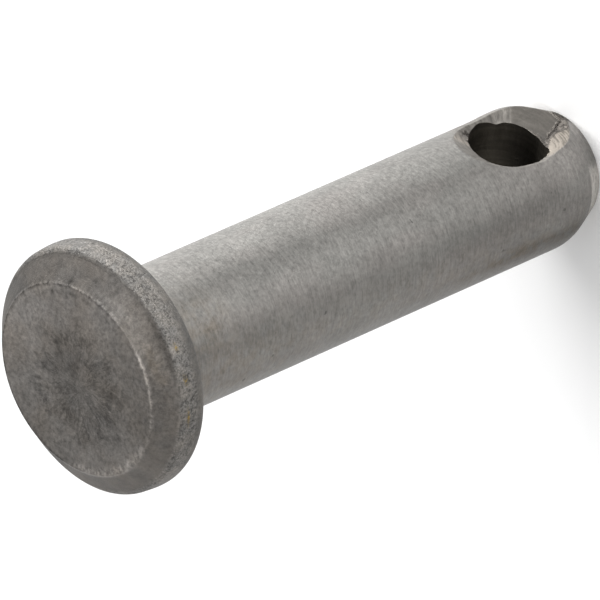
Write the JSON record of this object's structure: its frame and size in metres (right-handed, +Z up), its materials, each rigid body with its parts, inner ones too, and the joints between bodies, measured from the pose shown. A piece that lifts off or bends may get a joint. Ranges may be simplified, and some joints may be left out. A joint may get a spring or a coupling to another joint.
{
  "type": "clevis pin",
  "caption": "Plain steel pivot pin with an upset, bevelled round head, a straight shank, a tapered tip and a countersunk cross hole for a cotter.",
  "frame": {"origin": "centre of the flat end of the tip, on which the pin stands", "axes": "+Z up the pin towards its head, +X along the cotter hole, out of the mouth with the torn flat"},
  "size_m": [0.008, 0.008, 0.0207],
  "materials": {
    "steel": "plain turned and tumbled steel, unplated, with a rough forged rim on the head"
  },
  "bodies": {
    "root": {"clevis_pin": "steel"}
  },
  "joints": []
}
